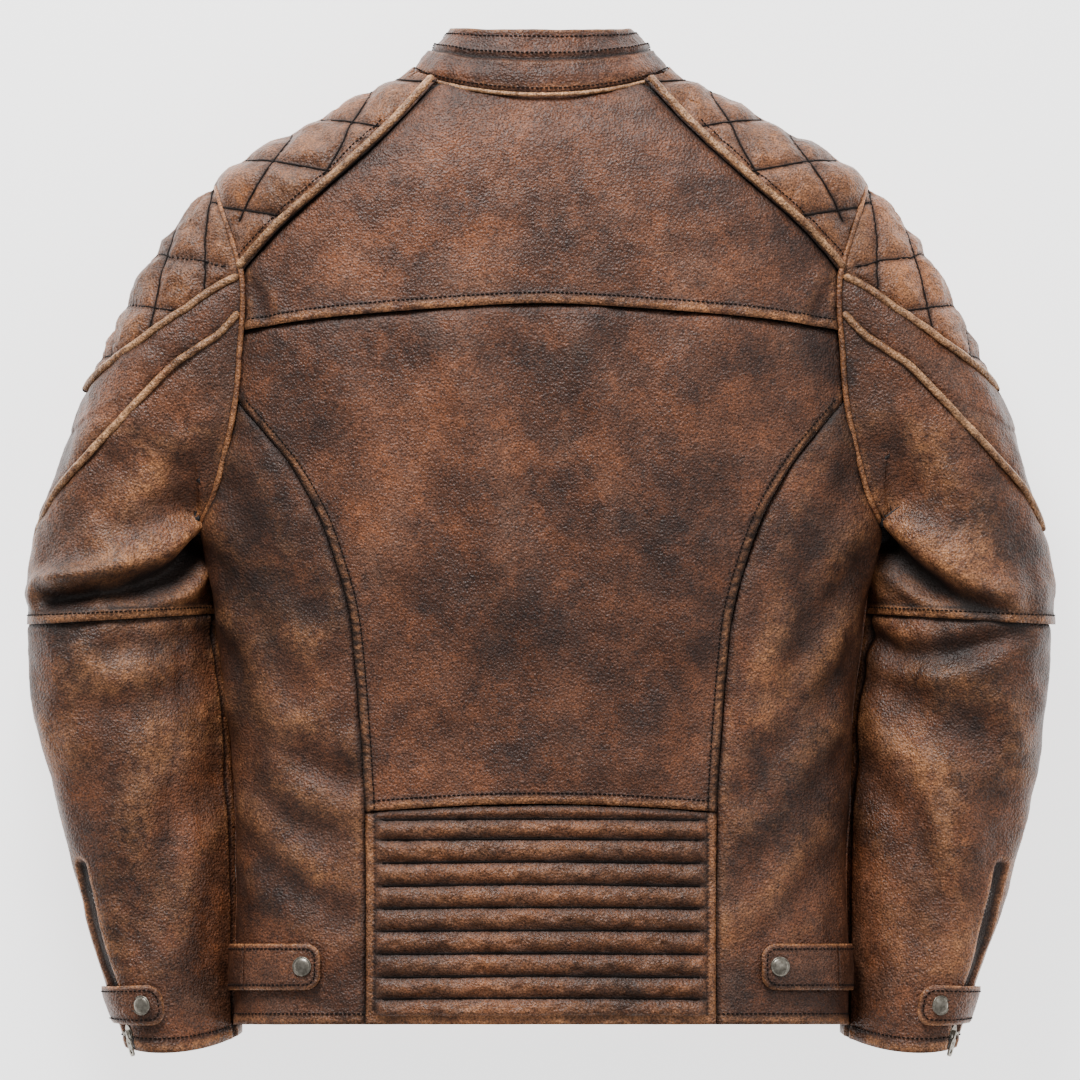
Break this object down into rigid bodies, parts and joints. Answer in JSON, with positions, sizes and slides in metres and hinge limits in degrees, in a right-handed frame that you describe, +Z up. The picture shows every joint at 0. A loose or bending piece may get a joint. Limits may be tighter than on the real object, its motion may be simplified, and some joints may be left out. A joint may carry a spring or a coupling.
{
  "type": "leather riding jacket",
  "caption": "Waist-length leather riding jacket with stand collar, quilted shoulders, ribbed lumbar panel, zip front, cuff zips, and snap straps at cuffs and waist.",
  "frame": {"origin": "top inner edge of the hanger loop inside the nape, level with the centre-back neck seam", "axes": "+Z up as worn, +Y the way the wearer faces, +X the wearer's right"},
  "size_m": [0.716, 0.1471, 0.7185],
  "materials": {
    "leather": "waxed and distressed, satin",
    "quilted_leather": "padded and quilted, satin",
    "ribbed_leather": "padded in horizontal channels, satin",
    "trim_leather": "worn edges, satin",
    "lining": "woven twill",
    "zip_chain": "dark antique teeth on black tape",
    "zip_metal": "antique nickel",
    "snap_metal": "antique nickel, domed"
  },
  "bodies": {
    "torso": {"back_yoke": "leather", "back_panel": "leather", "lumbar_panel": "ribbed_leather", "collar": "leather", "hanger_loop": "trim_leather", "back_lining": "lining", "strap_studs": "snap_metal", "side_back_left": "leather", "shoulder_left": "quilted_leather", "front_chest_left": "leather", "front_side_left": "leather", "zip_upper_left": "zip_chain", "sleeve_head_left": "quilted_leather", "sleeve_flex_left": "quilted_leather", "side_back_right": "leather", "shoulder_right": "quilted_leather", "front_chest_right": "leather", "front_side_right": "leather", "zip_upper_right": "zip_chain", "sleeve_head_right": "quilted_leather", "sleeve_flex_right": "quilted_leather"},
    "upper_slider": {"upper_slider": "zip_metal"},
    "upper_puller": {"upper_puller": "zip_metal"},
    "lower_slider": {"lower_slider": "zip_metal"},
    "lower_puller": {"lower_puller": "zip_metal"},
    "collar_tab": {"collar_tab": "trim_leather", "collar_snap": "snap_metal"},
    "front_flap_left": {"front_flap_left": "leather", "zip_lower_left": "zip_chain", "hand_zip_left": "zip_chain"},
    "hand_slider_left": {"hand_slider_left": "zip_metal"},
    "hand_puller_left": {"hand_puller_left": "zip_metal"},
    "upper_sleeve_left": {"sleeve_upper_left": "leather", "elbow_flex_left": "leather"},
    "forearm_left": {"forearm_left": "leather", "cuff_zip_left": "zip_chain", "cuff_stud_left": "snap_metal"},
    "cuff_slider_left": {"cuff_slider_left": "zip_metal"},
    "cuff_puller_left": {"cuff_puller_left": "zip_metal"},
    "cuff_tab_left": {"cuff_tab_left": "trim_leather", "cuff_snap_left": "snap_metal"},
    "side_strap_left": {"side_strap_left": "trim_leather", "side_snap_left": "snap_metal"},
    "front_flap_right": {"front_flap_right": "leather", "zip_lower_right": "zip_chain", "hand_zip_right": "zip_chain"},
    "hand_slider_right": {"hand_slider_right": "zip_metal"},
    "hand_puller_right": {"hand_puller_right": "zip_metal"},
    "upper_sleeve_right": {"sleeve_upper_right": "leather", "elbow_flex_right": "leather"},
    "forearm_right": {"forearm_right": "leather", "cuff_zip_right": "zip_chain", "cuff_stud_right": "snap_metal"},
    "cuff_slider_right": {"cuff_slider_right": "zip_metal"},
    "cuff_puller_right": {"cuff_puller_right": "zip_metal"},
    "cuff_tab_right": {"cuff_tab_right": "trim_leather", "cuff_snap_right": "snap_metal"},
    "side_strap_right": {"side_strap_right": "trim_leather", "side_snap_right": "snap_metal"}
  },
  "joints": [
    {"name": "upper_slider_travel", "type": "slide", "parent": "torso", "child": "upper_slider", "axis": [0, 0.1428, -0.9897], "range_m": [0, 0.09]},
    {"name": "upper_puller_swing", "type": "hinge", "parent": "upper_slider", "child": "upper_puller", "pos_m": [0, 0.09776, -0.05843], "axis": [1, 0, 0], "range_deg": [0, 150]},
    {"name": "lower_slider_travel", "type": "slide", "parent": "torso", "child": "lower_slider", "axis": [0, 0, 1], "range_m": [0, 0.355]},
    {"name": "lower_puller_swing", "type": "hinge", "parent": "lower_slider", "child": "lower_puller", "pos_m": [0, 0.1137, -0.6428], "axis": [-1, 0, 0], "range_deg": [0, 150]},
    {"name": "collar_tab_open", "type": "hinge", "parent": "torso", "child": "collar_tab", "pos_m": [-0.03, 0.0979, -0.026], "axis": [0, 0, 1], "range_deg": [0, 100]},
    {"name": "shoulder_left", "type": "hinge", "parent": "torso", "child": "upper_sleeve_left", "pos_m": [-0.238, 0.04, -0.3], "axis": [0, 1, 0], "range_deg": [0, 42], "deforming": ["sleeve_flex_left"]},
    {"name": "elbow_left", "type": "hinge", "parent": "upper_sleeve_left", "child": "forearm_left", "pos_m": [-0.289, 0.047, -0.41], "axis": [1, 0, 0], "range_deg": [0, 75], "deforming": ["elbow_flex_left"]},
    {"name": "front_left_fold", "type": "hinge", "parent": "torso", "child": "front_flap_left", "pos_m": [-0.011, 0.1192, -0.186], "axis": [0.3038, 0.0312, 0.9522], "range_deg": [0, 70]},
    {"name": "hand_slider_left_travel", "type": "slide", "parent": "front_flap_left", "child": "hand_slider_left", "axis": [0.312, 0.0273, 0.9497], "range_m": [0, 0.135]},
    {"name": "hand_puller_left_swing", "type": "hinge", "parent": "hand_slider_left", "child": "hand_puller_left", "pos_m": [-0.11018, 0.10861, -0.55428], "axis": [0.9463, 0.0804, -0.3132], "range_deg": [0, 150]},
    {"name": "cuff_slider_left_travel", "type": "slide", "parent": "forearm_left", "child": "cuff_slider_left", "axis": [-0.2753, -0.0207, 0.9611], "range_m": [0, 0.09]},
    {"name": "cuff_puller_left_swing", "type": "hinge", "parent": "cuff_slider_left", "child": "cuff_puller_left", "pos_m": [-0.29015, 0.02808, -0.65794], "axis": [-0.3732, 0.9237, -0.087], "range_deg": [0, 100]},
    {"name": "cuff_tab_left_open", "type": "hinge", "parent": "forearm_left", "child": "cuff_tab_left", "pos_m": [-0.2989, 0.0563, -0.641], "axis": [0.276, -0.0189, -0.961], "range_deg": [0, 100]},
    {"name": "side_strap_left_open", "type": "hinge", "parent": "torso", "child": "side_strap_left", "pos_m": [-0.209, 0.008, -0.611], "axis": [0, 0, -1], "range_deg": [0, 100]},
    {"name": "shoulder_right", "type": "hinge", "parent": "torso", "child": "upper_sleeve_right", "pos_m": [0.238, 0.04, -0.3], "axis": [0, -1, 0], "range_deg": [0, 42], "deforming": ["sleeve_flex_right"]},
    {"name": "elbow_right", "type": "hinge", "parent": "upper_sleeve_right", "child": "forearm_right", "pos_m": [0.289, 0.047, -0.41], "axis": [1, 0, 0], "range_deg": [0, 75], "deforming": ["elbow_flex_right"]},
    {"name": "front_right_fold", "type": "hinge", "parent": "torso", "child": "front_flap_right", "pos_m": [0.011, 0.1192, -0.186], "axis": [0.3038, -0.0312, -0.9522], "range_deg": [0, 70]},
    {"name": "hand_slider_right_travel", "type": "slide", "parent": "front_flap_right", "child": "hand_slider_right", "axis": [-0.312, 0.0273, 0.9497], "range_m": [0, 0.135]},
    {"name": "hand_puller_right_swing", "type": "hinge", "parent": "hand_slider_right", "child": "hand_puller_right", "pos_m": [0.11018, 0.10861, -0.55428], "axis": [0.9463, -0.0804, 0.3132], "range_deg": [0, 150]},
    {"name": "cuff_slider_right_travel", "type": "slide", "parent": "forearm_right", "child": "cuff_slider_right", "axis": [0.2753, -0.0207, 0.9611], "range_m": [0, 0.09]},
    {"name": "cuff_puller_right_swing", "type": "hinge", "parent": "cuff_slider_right", "child": "cuff_puller_right", "pos_m": [0.29015, 0.02808, -0.65794], "axis": [-0.3732, -0.9237, 0.087], "range_deg": [0, 100]},
    {"name": "cuff_tab_right_open", "type": "hinge", "parent": "forearm_right", "child": "cuff_tab_right", "pos_m": [0.2989, 0.0563, -0.641], "axis": [0.276, 0.0189, 0.961], "range_deg": [0, 100]},
    {"name": "side_strap_right_open", "type": "hinge", "parent": "torso", "child": "side_strap_right", "pos_m": [0.209, 0.008, -0.611], "axis": [0, 0, 1], "range_deg": [0, 100]}
  ]
}
